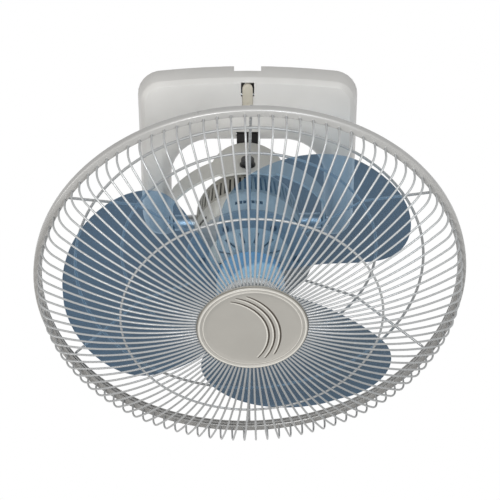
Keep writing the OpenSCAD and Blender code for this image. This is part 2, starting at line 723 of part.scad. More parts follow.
module gearbox_screws() color(steel) in_head() for (a = [45 : 90 : 315])
  rotate(a) translate([case_r - 2.6, 0, cover_z + 2.2 + seat]) cylinder(h = 1.4, r = 2.2);

// A spur gear outline with straight-sided teeth
module gear_shape(teeth, root_r, tip_r, root_w, tip_w) union() {
  circle(r = root_r);
  for (i = [0 : teeth - 1]) rotate(i * 360 / teeth)
    polygon([[root_r - 1, -root_w / 2], [tip_r, -tip_w / 2], [tip_r, tip_w / 2], [root_r - 1, root_w / 2]]);
}

gear_module = 2 * lay_x / (pinion_teeth + output_teeth);
pinion_pitch = gear_module * pinion_teeth / 2;
output_pitch = gear_module * output_teeth / 2;
worm1_r = 3.5;
worm2_r = 3.2;
wheel_gap = 0.25;
wheel1_tip = cross_y - worm1_r - wheel_gap;
wheel2_tip = cross_y - worm2_r - wheel_gap;

module worm(r, length) {
  pitch = 2.4;
  turns = floor(length / pitch);
  cylinder(h = length, r = r - 1);
  for (i = [0 : turns - 1]) translate([0, 0, (i + 0.5) * pitch - 0.6 + (length - turns * pitch) / 2])
    cylinder(h = 1.2, r = r);
}

module cross_shaft() color(brass) in_head() translate([0, -cross_y, cross_z]) {
  rod_x(post_x[0] + 0.5, post_x[1] + post_w, journal_r);
  rotate([0, 90, 0]) translate([0, 0, -2.5])
    linear_extrude(5) gear_shape(wheel1_teeth, wheel1_tip - 1.3, wheel1_tip, 1.5, 0.8);
  translate([lay_x - 4.5, 0, 0]) rotate([0, 90, 0]) worm(worm2_r, 9);
}

module lay_shaft() color(brass) in_head() translate([lay_x, 0, 0]) {
  translate([0, 0, case_floor + 0.2]) cylinder(h = cover_z + 1.6 - case_floor, r = journal_r);
  translate([0, 0, cross_z - 2]) linear_extrude(4)
    gear_shape(wheel2_teeth, wheel2_tip - 1.3, wheel2_tip, 1.5, 0.8);
  translate([0, 0, 28.9]) linear_extrude(2.9) rotate(180 + 180 / pinion_teeth)
    gear_shape(pinion_teeth, pinion_pitch - 1.1, pinion_pitch + 0.75, 1.6, 0.55);
}

module output_gear() color(brass) in_head() {
  translate([0, 0, 29.1]) linear_extrude(2.6)
    gear_shape(output_teeth, output_pitch - 1.1, output_pitch + 0.75, 1.5, 0.55);
  translate([0, 0, 29.1]) cylinder(h = 7.5, r = 3);
  translate([0, 0, cover_z + 3.4]) cylinder(h = 3, r = 11);
  rotate(crank_angle) translate([crank_r, 0, 0]) {
    translate([0, 0, cover_z + 6]) cylinder(h = ball_z - cover_z - 6, r = 1.8);
    translate([0, 0, ball_z]) sphere(r = ball_d / 2);
  }
}

// ---- rotor ---------------------------------------------------------------

module motor_shaft() color(steel) in_head() {
  translate([0, 0, -shaft_low]) cylinder(h = shaft_low + 15, r = shaft_r);
  translate([0, 0, 15 - eps]) worm(worm1_r, 12);
}

module rotor_core() color("#77797c") in_head() difference() {
  union() {
    ring(stack_top - stack_len - 1, stack_top + 1, shaft_r + bearing_fit, rotor_r);
    ring(stack_top - stack_len - 4, stack_top - stack_len - 1 + eps, rotor_r / 2, rotor_r - 2.6);
    ring(stack_top + 1 - eps, stack_top + 4, rotor_r / 2, rotor_r - 2.6);
  }
}

hub_behind = 18;
hub_ahead = 18.5;
hub_wall = 2.5;
hub_floor = 3;
sleeve_r = 9;
sleeve_behind = 10;
hub_rib_h = 20;
shaft_fit = 0.03;
hub_front = blade_depth + hub_ahead;
shaft_low = hub_front + 3.6;
blade_root_r = blade_hub_r - 1.2;
radial_steps = 12;
chord_steps = 8;
lead_root = 38;
lead_full = 54;
lead_full_r = 125;
trail_root = 64;
trail_slope = 0.22;
trail_full_r = 140;

// Share of its width that an edge keeps between r_full and the tip
function closing(r, r_full, power) = r <= r_full ? 1 :
  sqrt(max(0, 1 - pow((r - r_full) / (blade_r - r_full), power)));
// Angle from the blade's middle line to its leading and trailing edges
function lead_angle(r) = closing(r, lead_full_r, 2.4) * (r < lead_full_r
  ? lead_root + (lead_full - lead_root) * sin(90 * (r - blade_root_r) / (lead_full_r - blade_root_r))
  : lead_full);
function trail_angle(r) = closing(r, trail_full_r, 2.6) * (trail_root - trail_slope * (r - blade_root_r));
function pitch_at(r) = pitch_tip + (pitch_root - pitch_tip) * pow(1 - (r - blade_root_r)
  / (blade_r - blade_root_r), 1);
// A point of the blade's skin: u runs from the root to the tip, s from trailing to leading edge
function blade_radius(u) = blade_root_r + (blade_r - 0.4 - blade_root_r) * sin(90 * u) ;
function blade_height(r, s) = let (
    chord = r * (lead_angle(r) + trail_angle(r)) * PI / 180)
  chord * tan(pitch_at(r)) * (s - 0.5) + 0.045 * chord * 4 * s * (1 - s) - 0.02 * chord;
function blade_point(r, s, up) = let (
    a = -trail_angle(r) + s * (lead_angle(r) + trail_angle(r)),
    thin = blade_t * (0.35 + 0.65 * pow(4 * s * (1 - s), 0.35)) / 2)
  [r * cos(a), r * sin(a), blade_height(r, s) + up * thin];
function blade_ring(r) = concat(
  [for (i = [0 : chord_steps]) blade_point(r, i / chord_steps, -1)],
  [for (i = [chord_steps : -1 : 0]) blade_point(r, i / chord_steps, 1)]);

module one_blade() loft([for (i = [0 : radial_steps]) blade_ring(blade_radius(i / radial_steps))]);

blade_phase = 59;

module blades() color(blue) in_head() translate([0, 0, -blade_depth]) {
  ring(-hub_ahead, hub_behind, blade_hub_r - hub_wall, blade_hub_r);
  ring(-hub_ahead, hub_floor - hub_ahead, shaft_r + shaft_fit, blade_hub_r - 1);
  ring(-hub_ahead, sleeve_behind, shaft_r + shaft_fit, sleeve_r);
  for (i = [0 : 5]) rotate(i * 60 + 30) translate([sleeve_r - 0.5, -1, hub_floor - hub_ahead - 0.5])
    cube([blade_hub_r - sleeve_r - 1, 2, hub_rib_h]);
  for (i = [0 : blade_count - 1]) rotate(blade_phase + i * 360 / blade_count) one_blade();
}

cap_r = blade_hub_r - 3;
cap_round = 3;

module hub_cap() color("#e6e3dc") in_head() translate([0, 0, -hub_front - seat]) difference() {
  rotate_extrude($fn = 96) union() {
    translate([0, -4]) square([cap_r - cap_round, 4]);
    translate([0, -cap_round]) square([cap_r, cap_round]);
    translate([cap_r - cap_round, -cap_round]) intersection() {
      circle(r = cap_round);
      translate([0, -cap_round]) square(cap_round);
    }
    translate([0, -6]) square([10, 6]);
  }
  translate([0, 0, -4]) cylinder(h = 6, r = shaft_r + shaft_fit);
}

// ---- guard ---------------------------------------------------------------

collar_screw_angles = [0 : 60 : 300];
collar_screw_r = 50;
collar_z = -front_face - seat;
collar_t = 2;
collar_r = motor_r + 9;
rear_wire_r = rear_wire_d / 2;

module rear_guard_collar() color(light) in_head() difference() {
  ring(collar_z - collar_t, collar_z, 44, collar_r);
  for (a = collar_screw_angles) rotate(a) translate([collar_screw_r, 0, collar_z - collar_t - 1])
    cylinder(h = 5, r = 1.8);
}

module collar_screws() color(dark) in_head() for (a = collar_screw_angles)
  rotate(a) translate([collar_screw_r, 0, collar_z - collar_t - seat]) mirror([0, 0, 1])
    screw(1.55, 4, 3.4, 2);

rim_front = -rim_depth - rim_h / 2;
rim_back = -rim_depth + rim_h / 2;
rim_seat_r = rim_r - rim_w / 2 - 1.5;
shoulder_bend_r = 8;
shoulder_rise = 48;     // from the rim up to the ribs' shoulder
ring_to_rib = rear_wire_d + seat;
rib_root_z = collar_z + seat + rear_wire_r;
rib_root = [motor_r + 3.2, rib_root_z];
rib_foot = [motor_r + 12, rib_root_z];
rib_shoulder = [rear_ring1_r, -rim_depth + shoulder_rise];
rib_corner = [rim_seat_r, rim_back + 6];
rib_end = [rim_seat_r, rim_back + seat];
rib_fall = (rib_shoulder - rib_corner)[1] / (rib_corner - rib_shoulder)[0];
rib_rise = (rib_shoulder - rib_foot)[1] / (rib_shoulder - rib_foot)[0];
// The rings lie under the ribs: one at their shoulder and one on their straight fall
shoulder_drop = shoulder_bend_r * (1 / cos((atan(rib_fall) + atan(rib_rise)) / 2) - 1);
rear_ring1_z = rib_shoulder[1] - shoulder_drop - ring_to_rib;
rear_ring2_z = rib_shoulder[1] - (rear_ring2_r - rear_ring1_r) * rib_fall
  - ring_to_rib / cos(atan(rib_fall));
rib_path = concat([rib_root],
  bend(rib_root, rib_foot, rib_shoulder, 12, 2),
  bend(rib_foot, rib_shoulder, rib_corner, shoulder_bend_r, 3),
  bend(rib_shoulder, rib_corner, rib_end, 3, 2),
  [rib_end]);

module rear_ribs() color(light) in_head() for (i = [0 : rib_count - 1])
  rotate(30 + i * 360 / rib_count) bent_wire(rib_path, rear_wire_r, 8);

module wire_ring(r, z, wire_r) translate([0, 0, z]) rotate_extrude($fn = 128)
  translate([r, 0]) circle(r = wire_r, $fn = 24);

module rear_ring_inner() color(light) in_head() wire_ring(rear_ring1_r, rear_ring1_z, rear_wire_r);
module rear_ring_outer() color(light) in_head() wire_ring(rear_ring2_r, rear_ring2_z, rear_wire_r);

rim_round = 3;

module guard_rim() color(light) in_head() rotate_extrude($fn = 128) union() {
  translate([rim_r - rim_w + rim_round, rim_front]) square([rim_w - 2 * rim_round, rim_h]);
  translate([rim_r - rim_w, rim_front + rim_round]) square([rim_w, rim_h - 2 * rim_round]);
  for (x = [rim_r - rim_w + rim_round, rim_r - rim_round], z = [rim_front + rim_round, rim_back - rim_round])
    translate([x, z]) circle(r = rim_round, $fn = 24);
}

spoke_r = spoke_d / 2;
spoke_start_r = 47;
bend_slope = asin((rim_seat_r - spoke_bend_r - dome_flat_r) / (dome_r - spoke_bend_r));
start_slope = asin((spoke_start_r - dome_flat_r) / dome_r);
bend_z = rim_front - spoke_stand;
dome_z = bend_z - dome_r + (dome_r - spoke_bend_r) * cos(bend_slope);
// Height of the spokes' middle line at radius r, on the dome
function dome_at(r) = dome_z + dome_r - sqrt(pow(dome_r, 2) - pow(r - dome_flat_r, 2));

// The middle line of a spoke, by its slope: along the dome, round the bend and up to the rim
mid_slope = asin((mid_ring_r - dome_flat_r) / dome_r);
dome_slopes = [start_slope, 0, mid_slope / 2, mid_slope, (mid_slope + bend_slope) / 2, bend_slope];
spoke_path = concat(
  [for (a = dome_slopes) [dome_flat_r + dome_r * sin(a), dome_z + dome_r * (1 - cos(a))]],
  [for (a = [(bend_slope + 90) / 2, 90])
    [rim_seat_r - spoke_bend_r + spoke_bend_r * sin(a), bend_z - spoke_bend_r * cos(a)]],
  [[rim_seat_r, rim_front - seat]]);

module front_spokes() color(light) in_head() for (i = [0 : spoke_count - 1])
  rotate((i + 0.5) * 360 / spoke_count) bent_wire(spoke_path, spoke_r, 6);

mid_inner_r = dome_r - spoke_r - mid_ring_d / 2 - seat;

module front_mid_ring() color(light) in_head() wire_ring(dome_flat_r + mid_inner_r * sin(mid_slope),
  dome_z + dome_r - mid_inner_r * cos(mid_slope), mid_ring_d / 2);

plate_low = dome_at(spoke_start_r) + spoke_r + seat;
hub_plate_t = 1.2;

module hub_plate() color(light) in_head() {
  ring(plate_low, plate_low + hub_plate_t, 3, spoke_start_r + 5);
  ring(plate_low + hub_plate_t - eps, plate_low + hub_plate_t + 1.8, 10, 12);
}

badge_back = dome_at(badge_r) - spoke_r - seat;

// Dished cap with two raised contours round its edge
module badge() color(light) in_head() difference() {
  union() {
    rotate_extrude($fn = 96) polygon([[0, badge_back], [badge_r, badge_back], [badge_r + 0.3, badge_back - 1.5],
      [badge_r - 0.9, badge_back - 3.1], [badge_r - 2.4, badge_back - 3.6], [badge_r - 4.2, badge_back - 3],
      [badge_r - 5.2, badge_back - 2.5], [badge_r - 6.4, badge_back - 2.9], [badge_r - 8.2, badge_back - 2.7],
      [badge_r - 11, badge_back - 1.9], [badge_r - 20, badge_back - 1.5], [0, badge_back - 1.4]]);
    translate([0, 0, badge_back - eps]) cylinder(h = plate_low - badge_back - seat, r = 6);
  }
  translate([0, 0, badge_back - 0.2]) cylinder(h = 10, r = 1.5);
}

module badge_screw() color(steel) in_head() translate([0, 0, plate_low + hub_plate_t + seat])
  screw(1.45, plate_low + hub_plate_t - badge_back, 4, 1.8);

// ---- placement -----------------------------------------------------------

mounting_plate();
base_housing();
cable_grommet();
terminal_block();
capacitor();
pivot_bracket();
bracket_screws();
crank_anchor();
anchor_screws();
housing_screws();
roll_pin();
pivot_cap();
latch_pin();
latch_spring();
latch_lever();
yoke();
roll_bush();
trunnion_bushes();
motor_frame();
trunnion_pins();
rear_cover();
front_cover();
stator_core();
windings();
rear_bearing();
front_bearing();
gearbox_case();
gearbox_cover();
gearbox_screws();
rear_guard_collar();
collar_screws();
rear_ribs();
rear_ring_inner();
rear_ring_outer();
guard_rim();
front_spokes();
front_mid_ring();
hub_plate();
badge();
badge_screw();
motor_shaft();
rotor_core();
blades();
hub_cap();
cross_shaft();
lay_shaft();
output_gear();
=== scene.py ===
"""Looks of the orbital ceiling fan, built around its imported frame.

Metres, +Z up into the ceiling. Pieces of the head are drawn about the blade axis, with the
gimbal at the origin and the front towards -Z, and HEAD puts them at their pose at rest.
"""
import json
import math

import bmesh
import bpy
from mathutils import Matrix, Vector


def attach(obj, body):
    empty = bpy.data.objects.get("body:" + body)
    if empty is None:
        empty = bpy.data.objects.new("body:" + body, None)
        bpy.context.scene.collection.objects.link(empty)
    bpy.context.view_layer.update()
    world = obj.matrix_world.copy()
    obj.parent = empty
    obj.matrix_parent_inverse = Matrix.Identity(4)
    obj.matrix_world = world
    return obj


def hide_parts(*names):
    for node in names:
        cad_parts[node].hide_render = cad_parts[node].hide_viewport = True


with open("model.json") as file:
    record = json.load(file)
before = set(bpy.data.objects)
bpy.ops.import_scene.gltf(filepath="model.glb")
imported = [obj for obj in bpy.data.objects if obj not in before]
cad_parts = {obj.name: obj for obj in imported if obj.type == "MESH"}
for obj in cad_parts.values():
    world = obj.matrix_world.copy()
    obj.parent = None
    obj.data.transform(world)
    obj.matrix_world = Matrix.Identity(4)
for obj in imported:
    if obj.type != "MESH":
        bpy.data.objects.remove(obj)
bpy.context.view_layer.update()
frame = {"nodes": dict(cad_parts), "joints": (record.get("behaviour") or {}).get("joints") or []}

MM = 0.001

# ---- camera ----------------------------------------------------------------

CAMERA_AT = (0.0026, -0.9118, -1.5688)
CAMERA_TILT = math.radians(147.6)
CAMERA_LENS = 115.2
CAMERA_SENSOR = 36
CAMERA_REACH = 20


def add_camera():
    data = bpy.data.cameras.new("camera")
    data.lens = CAMERA_LENS
    data.sensor_width = CAMERA_SENSOR
    data.clip_end = CAMERA_REACH
    camera = bpy.data.objects.new("camera", data)
    camera.location = CAMERA_AT
    camera.rotation_euler = (CAMERA_TILT, 0, 0)
    bpy.context.scene.collection.objects.link(camera)
    bpy.context.scene.camera = camera


add_camera()

# ---- places ----------------------------------------------------------------

joints = {joint["name"]: joint for joint in frame["joints"]}
GIMBAL = Vector(joints["yoke_roll"]["pos_m"])
HEAD_X = Vector(joints["head_pitch"]["axis"]).normalized()
HEAD_Z = Vector(joints["blade_spin"]["axis"]).normalized()
HEAD_TURN = Matrix((HEAD_X, HEAD_Z.cross(HEAD_X), HEAD_Z)).transposed()
HEAD = Matrix.Translation(GIMBAL) @ HEAD_TURN.to_4x4()

# ---- materials -------------------------------------------------------------

NOISE_LOW, NOISE_HIGH = 0.3, 0.7  # most values of a noise texture lie between these
CLOUD_SCALE, GLOSS_SCALE = 22.0, 60.0
GRAIN_DEPTH = 0.0004
COAT_ROUGHNESS = 0.25
MARK_SCALE, MARK_DEPTH = 300.0, 0.0003
SKIN_CLOUD_SCALE, SKIN_GLOSS_SCALE, SKIN_GRAIN_SCALE = 14.0, 40.0, 260.0
SKIN_COAT, SKIN_COAT_ROUGHNESS = 0.3, 0.12
DULL_SPECULAR = 0.15


def new_material(name):
    material = bpy.data.materials.new(name)
    material.use_nodes = True
    tree = material.node_tree
    return material, tree, tree.nodes["Principled BSDF"]


def object_coordinates(tree):
    return tree.nodes.new("ShaderNodeTexCoord").outputs["Object"]


def noise(tree, scale, detail, vector=None):
    """The factor of a noise texture, in object space unless another vector is given."""
    node = tree.nodes.new("ShaderNodeTexNoise")
    node.inputs["Scale"].default_value = scale
    node.inputs["Detail"].default_value = detail
    if vector is None:
        vector = object_coordinates(tree)
    tree.links.new(vector, node.inputs["Vector"])
    return node.outputs["Fac"]


def spread(tree, factor, low, high):
    """A noise factor mapped from the noise's middle range to the range low..high."""
    node = tree.nodes.new("ShaderNodeMapRange")
    node.inputs["From Min"].default_value = NOISE_LOW
    node.inputs["From Max"].default_value = NOISE_HIGH
    node.inputs["To Min"].default_value = low
    node.inputs["To Max"].default_value = high
    tree.links.new(factor, node.inputs["Value"])
    return node.outputs["Result"]


def two_tone(tree, factor, first, second):
    node = tree.nodes.new("ShaderNodeMix")
    node.data_type = "RGBA"
    node.inputs["A"].default_value = (*first, 1)
    node.inputs["B"].default_value = (*second, 1)
    tree.links.new(factor, node.inputs["Factor"])
    return node.outputs["Result"]


def bump(tree, shader, height, strength, distance):
    node = tree.nodes.new("ShaderNodeBump")
    node.inputs["Strength"].default_value = strength
    node.inputs["Distance"].default_value = distance
    tree.links.new(height, node.inputs["Height"])
    tree.links.new(node.outputs["Normal"], shader.inputs["Normal"])


def darker(color, share):
    return tuple(c * share for c in color)


def clouded(tree, shader, factor, color, share):
    """A base colour that drifts between a colour and a darker share of it."""
    cloud = spread(tree, factor, 0.0, 1.0)
    tree.links.new(two_tone(tree, cloud, color, darker(color, share)), shader.inputs["Base Color"])


def uneven_gloss(tree, shader, factor, low, high):
    tree.links.new(spread(tree, factor, low, high), shader.inputs["Roughness"])


def coated(shader, weight, roughness):
    shader.inputs["Coat Weight"].default_value = weight
    shader.inputs["Coat Roughness"].default_value = roughness


def enamel(name, color, roughness, coat, grain=900.0, grain_strength=0.08, shade=0.93):
    """Paint or moulded plastic: a faint cloudiness in colour and gloss over a fine grain."""
    material, tree, shader = new_material(name)
    clouded(tree, shader, noise(tree, CLOUD_SCALE, 3.0), color, shade)
    uneven_gloss(tree, shader, noise(tree, GLOSS_SCALE, 4.0), roughness - 0.04, roughness + 0.05)
    bump(tree, shader, noise(tree, grain, 2.0), grain_strength, GRAIN_DEPTH)
    coated(shader, coat, COAT_ROUGHNESS)
    return material


def metal(name, color, roughness, streak=(1.0, 1.0, 1.0), strength=0.12):
    """Bare metal, with turning or rolling marks along the streak direction."""
    material, tree, shader = new_material(name)
    stretch = tree.nodes.new("ShaderNodeMapping")
    stretch.inputs["Scale"].default_value = streak
    tree.links.new(object_coordinates(tree), stretch.inputs["Vector"])
    marks = noise(tree, MARK_SCALE, 3.0, stretch.outputs["Vector"])
    clouded(tree, shader, marks, color, 0.8)
    uneven_gloss(tree, shader, marks, roughness - 0.06, roughness + 0.08)
    bump(tree, shader, marks, strength, MARK_DEPTH)
    shader.inputs["Metallic"].default_value = 1.0
    return material


def rubber(name, color, roughness):
    return enamel(name, color, roughness, coat=0.0, grain=1400.0, grain_strength=0.2)


def see_through(name, color, tint, clearness):
    """Tinted translucent plastic: a glossy blue skin over a share of clear, tinted view."""
    material, tree, shader = new_material(name)
    clouded(tree, shader, noise(tree, SKIN_CLOUD_SCALE, 3.0), color, 0.85)
    uneven_gloss(tree, shader, noise(tree, SKIN_GLOSS_SCALE, 3.0), 0.16, 0.26)
    bump(tree, shader, noise(tree, SKIN_GRAIN_SCALE, 2.0), 0.05, GRAIN_DEPTH)
    coated(shader, SKIN_COAT, SKIN_COAT_ROUGHNESS)
    clear = tree.nodes.new("ShaderNodeBsdfTransparent")
    clear.inputs["Color"].default_value = (*tint, 1)
    mix = tree.nodes.new("ShaderNodeMixShader")
    mix.inputs["Fac"].default_value = clearness
    tree.links.new(shader.outputs["BSDF"], mix.inputs[1])
    tree.links.new(clear.outputs["BSDF"], mix.inputs[2])
    tree.links.new(mix.outputs["Shader"], tree.nodes["Material Output"].inputs["Surface"])
    return material


housing_grey = enamel("housing_grey", (0.515, 0.50, 0.475), 0.40, coat=0.35, grain=1100.0,
                      grain_strength=0.06)
yoke_paint = enamel("yoke_paint", (0.46, 0.45, 0.415), 0.38, coat=0.3)
guard_paint = enamel("guard_paint", (0.30, 0.302, 0.298), 0.27, coat=0.5, grain=700.0)
rim_plastic = enamel("rim_plastic", (0.31, 0.302, 0.288), 0.30, coat=0.4)
badge_satin = enamel("badge_satin", (0.325, 0.308, 0.278), 0.34, coat=0.2, grain=1500.0,
                     grain_strength=0.04)
badge_ink = enamel("badge_ink", (0.055, 0.045, 0.035), 0.5, coat=0.0)
# Pale: a painted highlight on the badge's two raised rings, and the pale edges along its dark
# lines.
badge_light = enamel("badge_light", (0.55, 0.525, 0.475), 0.3, coat=0.3, grain=1500.0,
                     grain_strength=0.04)
# Painted shade: the dark ring round the badge's edge.
badge_shade = enamel("badge_shade", (0.13, 0.12, 0.10), 0.5, coat=0.0)
# Painted shade: a near-black paint for the sheets that stand for the shade inside the rim's
# grooves and the covers' slots and vents.
painted_shade_dark = enamel("painted_shade_dark", (0.03, 0.028, 0.026), 0.6, coat=0.0)
motor_cream = enamel("motor_cream", (0.36, 0.34, 0.29), 0.36, coat=0.3)
# Painted light: the covers' cream, made much lighter on the front cover so that it shows bright
# inside the guard.
motor_cream_painted_light = enamel("motor_cream_painted_light", (0.66, 0.64, 0.58), 0.36, coat=0.3)
latch_cream = enamel("latch_cream", (0.44, 0.405, 0.33), 0.42, coat=0.15)
hub_white = enamel("hub_white", (0.78, 0.79, 0.78), 0.36, coat=0.3)
capacitor_white = enamel("capacitor_white", (0.75, 0.74, 0.70), 0.45, coat=0.1)
gearbox_grey = enamel("gearbox_grey", (0.45, 0.44, 0.41), 0.42, coat=0.15)
bracket_black = enamel("bracket_black", (0.010, 0.009, 0.009), 0.6, coat=0.05, shade=0.7)
bush_black = rubber("bush_black", (0.014, 0.014, 0.015), 0.42)
terminal_black = rubber("terminal_black", (0.02, 0.02, 0.022), 0.5)
rubber_black = rubber("rubber_black", (0.015, 0.015, 0.015), 0.75)
screw_black = enamel("screw_black", (0.02, 0.02, 0.02), 0.4, coat=0.2)
plate_zinc = metal("plate_zinc", (0.62, 0.63, 0.64), 0.38, (1.0, 12.0, 1.0))
screw_steel = metal("screw_steel", (0.60, 0.60, 0.60), 0.32)
pin_steel = metal("pin_steel", (0.60, 0.61, 0.62), 0.22, (1.0, 1.0, 14.0))
spring_steel = metal("spring_steel", (0.5, 0.5, 0.49), 0.28)
bearing_steel = metal("bearing_steel", (0.68, 0.69, 0.70), 0.16)
frame_aluminium = metal("frame_aluminium", (0.62, 0.63, 0.64), 0.46, strength=0.3)
stator_steel = metal("stator_steel", (0.34, 0.35, 0.37), 0.42, (1.0, 1.0, 30.0), 0.5)
winding_copper = metal("winding_copper", (0.62, 0.27, 0.11), 0.3, (1.0, 1.0, 24.0), 0.6)
gear_brass = metal("gear_brass", (0.70, 0.52, 0.24), 0.28, (1.0, 1.0, 14.0))
blade_blue = see_through("blade_blue", (0.10, 0.20, 0.32), (0.82, 0.91, 0.98), 0.81)
# Painted light: the blade plastic made far lighter on the hub, standing in for light that shines
# through it.
hub_painted_light_blue = see_through("hub_painted_light_blue", (0.46, 0.78, 1.0), (0.84, 0.93, 1.0), 0.42)
for dull in (bracket_black, painted_shade_dark):
    dull_shader = dull.node_tree.nodes["Principled BSDF"]
    dull_shader.inputs["Specular IOR Level"].default_value = DULL_SPECULAR

NODE_MATERIALS = {
    "mounting_plate": plate_zinc, "base_housing": housing_grey, "cable_grommet": rubber_black,
    "terminal_block": terminal_black, "capacitor": capacitor_white, "pivot_bracket": bracket_black,
    "bracket_screws": screw_steel, "crank_anchor": bracket_black, "anchor_screws": screw_steel,
    "housing_screws": screw_steel, "roll_pin": pin_steel, "pivot_cap": bush_black,
    "latch_pin": pin_steel, "latch_spring": spring_steel, "latch_lever": latch_cream,
    "yoke": yoke_paint, "roll_bush": bush_black, "trunnion_bushes": bush_black,
    "motor_frame": frame_aluminium, "trunnion_pins": pin_steel, "rear_cover": motor_cream,
    "front_cover": motor_cream_painted_light, "stator_core": stator_steel, "windings": winding_copper,
    "rear_bearing": bearing_steel, "front_bearing": bearing_steel, "gearbox_case": gearbox_grey,
    "gearbox_cover": gearbox_grey, "gearbox_screws": screw_steel, "rear_guard_collar": guard_paint,
    "collar_screws": screw_black, "rear_ribs": guard_paint, "rear_ring_inner": guard_paint,
    "rear_ring_outer": guard_paint, "guard_rim": rim_plastic, "front_spokes": guard_paint,
    "front_mid_ring": guard_paint, "hub_plate": guard_paint, "badge": badge_satin,
    "badge_screw": screw_steel, "motor_shaft": pin_steel, "rotor_core": stator_steel,
    "blades": blade_blue, "hub_cap": hub_white, "cross_shaft": gear_brass, "lay_shaft": gear_brass,
    "output_gear": gear_brass,
}


def dress_nodes():
    """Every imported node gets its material."""
    for name, node in frame["nodes"].items():
        node.data.materials.clear()
        node.data.materials.append(NODE_MATERIALS[name])


dress_nodes()

# ---- mesh helpers ----------------------------------------------------------

SMOOTH_ANGLE = math.radians(32)
WIRE_ANGLE = math.radians(60)  # the few faces round a thin wire meet at larger angles
UP = Vector((0, 0, 1))


def add_piece(name, mesh, material, body, replaced, sharp=SMOOTH_ANGLE):
    """A finished mesh becomes a piece that rides on its body and stands for its node."""
    mesh.materials.clear()
    mesh.materials.append(material)
    piece = bpy.data.objects.new(name, mesh)
    bpy.context.scene.collection.objects.link(piece)
    mesh.shade_smooth()
    mesh.set_sharp_from_angle(angle=sharp)
    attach(piece, body)
    if replaced:
        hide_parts(*replaced)
    return piece


def mesh_from(name, points, faces, matrix):
    mesh = bpy.data.meshes.new(name)
    mesh.from_pydata([matrix @ Vector(p) for p in points], [], faces)
    mesh.validate()
    bm = bmesh.new()
    bm.from_mesh(mesh)
    bmesh.ops.recalc_face_normals(bm, faces=bm.faces)
    bm.to_mesh(mesh)
    bm.free()
    return mesh


def rings_to_faces(count, sides, closed):
    """Quads between neighbouring rings of points, with end caps if the tube isn't closed."""
    faces = []
    for i in range(count if closed else count - 1):
        here, there = i * sides, (i + 1) % count * sides
        for k in range(sides):
            n = (k + 1) % sides
            faces.append((here + k, here + n, there + n, there + k))
    if not closed:
        faces.append(tuple(range(sides)))
        faces.append(tuple(range((count - 1) * sides, count * sides)))
    return faces


def section(middle, radius, side, up, sides):
    """The ring of points round one place of a wire."""
    angles = (2 * math.pi * k / sides for k in range(sides))
    return [middle + radius * (math.cos(a) * side + math.sin(a) * up) for a in angles]


def wire(path, radius, normal, sides):
    """A wire with two ends along a path that lies in the plane with that normal."""
    points = []
    last = len(path) - 1
    for i, p in enumerate(path):
        along = (path[min(i + 1, last)] - path[max(i - 1, 0)]).normalized()
        points += section(p, radius, along.cross(normal).normalized(), normal, sides)
    return points, rings_to_faces(len(path), sides, False)


def ring_wire(r, z, wire_r, steps, sides):
    """A wire that closes on itself round the head's axis."""
    points = []
    for i in range(steps):
        a = 2 * math.pi * i / steps
        p = Vector((r * math.cos(a), r * math.sin(a), z))
        points += section(p, wire_r, Vector((p.x, p.y, 0)).normalized(), UP, sides)
    return points, rings_to_faces(steps, sides, True)


def joined(parts):
    """Several (points, faces) lists as one."""
    points, faces = [], []
    for more_points, more_faces in parts:
        start = len(points)
        points += more_points
        faces += [tuple(start + i for i in face) for face in more_faces]
    return points, faces


def turned(points, angle):
    turn = Matrix.Rotation(angle, 3, "Z")
    return [turn @ p for p in points]


def outward(angle):
    """The unit vectors away from the head's axis and round it, at an angle."""
    sine, cosine = math.sin(angle), math.cos(angle)
    return Vector((cosine, sine, 0)), Vector((-sine, cosine, 0))


def arc(cx, cy, r, from_deg, to_deg, steps):
    """Points on an arc in a plane, both ends included."""
    found = []
    for i in range(steps + 1):
        a = math.radians(from_deg + (to_deg - from_deg) * i / steps)
        found.append((cx + r * math.cos(a), cy + r * math.sin(a)))
    return found


def revolve(profile, steps):
    """A closed (r, z) outline turned about the head's axis."""
    points, count = [], len(profile)
    for i in range(steps):
        a = 2 * math.pi * i / steps
        points += [Vector((r * math.cos(a), r * math.sin(a), z)) for r, z in profile]
    return points, rings_to_faces(steps, count, True)


# ---- guard -----------------------------------------------------------------

RIM_R = 225.89 * MM
RIM_W = 8.5 * MM
RIM_H = 9 * MM
RIM_Z = -98 * MM
RIM_SEAT_R = RIM_R - RIM_W / 2 - 1.5 * MM
RIM_FRONT = RIM_Z - RIM_H / 2
RIM_BACK = RIM_Z + RIM_H / 2
SPOKES = 104
SPOKE_WIRE = 1.1 * MM
SPOKE_START_R = 47 * MM
DOME_R = 300 * MM
DOME_Z = RIM_Z - 66.6 * MM
DOME_FLAT_R = 69 * MM
BEND_R = 20 * MM
SPOKE_TUCK = 1 * MM  # how far a spoke reaches into the rim
SPOKE_SIDES = 10
DOME_STEPS, BEND_STEPS = 22, 9
MID_RING_R = 134.6 * MM
MID_WIRE = 1.2 * MM
MID_GAP = 0.1 * MM
MID_STEPS, MID_SIDES = 200, 12
XZ_NORMAL = Vector((0, 1, 0))


def dome_point(slope):
    r = DOME_FLAT_R + DOME_R * math.sin(slope)
    return Vector((r, 0, DOME_Z + DOME_R * (1 - math.cos(slope))))


def spoke_path():
    """From under the badge along the dome, round the bend and up into the rim."""
    start = math.asin((SPOKE_START_R - DOME_FLAT_R) / DOME_R)
    end = math.asin((RIM_SEAT_R - BEND_R - DOME_FLAT_R) / (DOME_R - BEND_R))
    path = [dome_point(start + (end - start) * i / DOME_STEPS) for i in range(DOME_STEPS + 1)]
    centre_r = RIM_SEAT_R - BEND_R
    centre_z = DOME_Z + DOME_R - (DOME_R - BEND_R) * math.cos(end)
    for i in range(1, BEND_STEPS + 1):
        a = end + (math.pi / 2 - end) * i / BEND_STEPS
        path.append(Vector((centre_r + BEND_R * math.sin(a), 0, centre_z - BEND_R * math.cos(a))))
    path.append(Vector((RIM_SEAT_R, 0, RIM_FRONT + SPOKE_TUCK)))
    return path


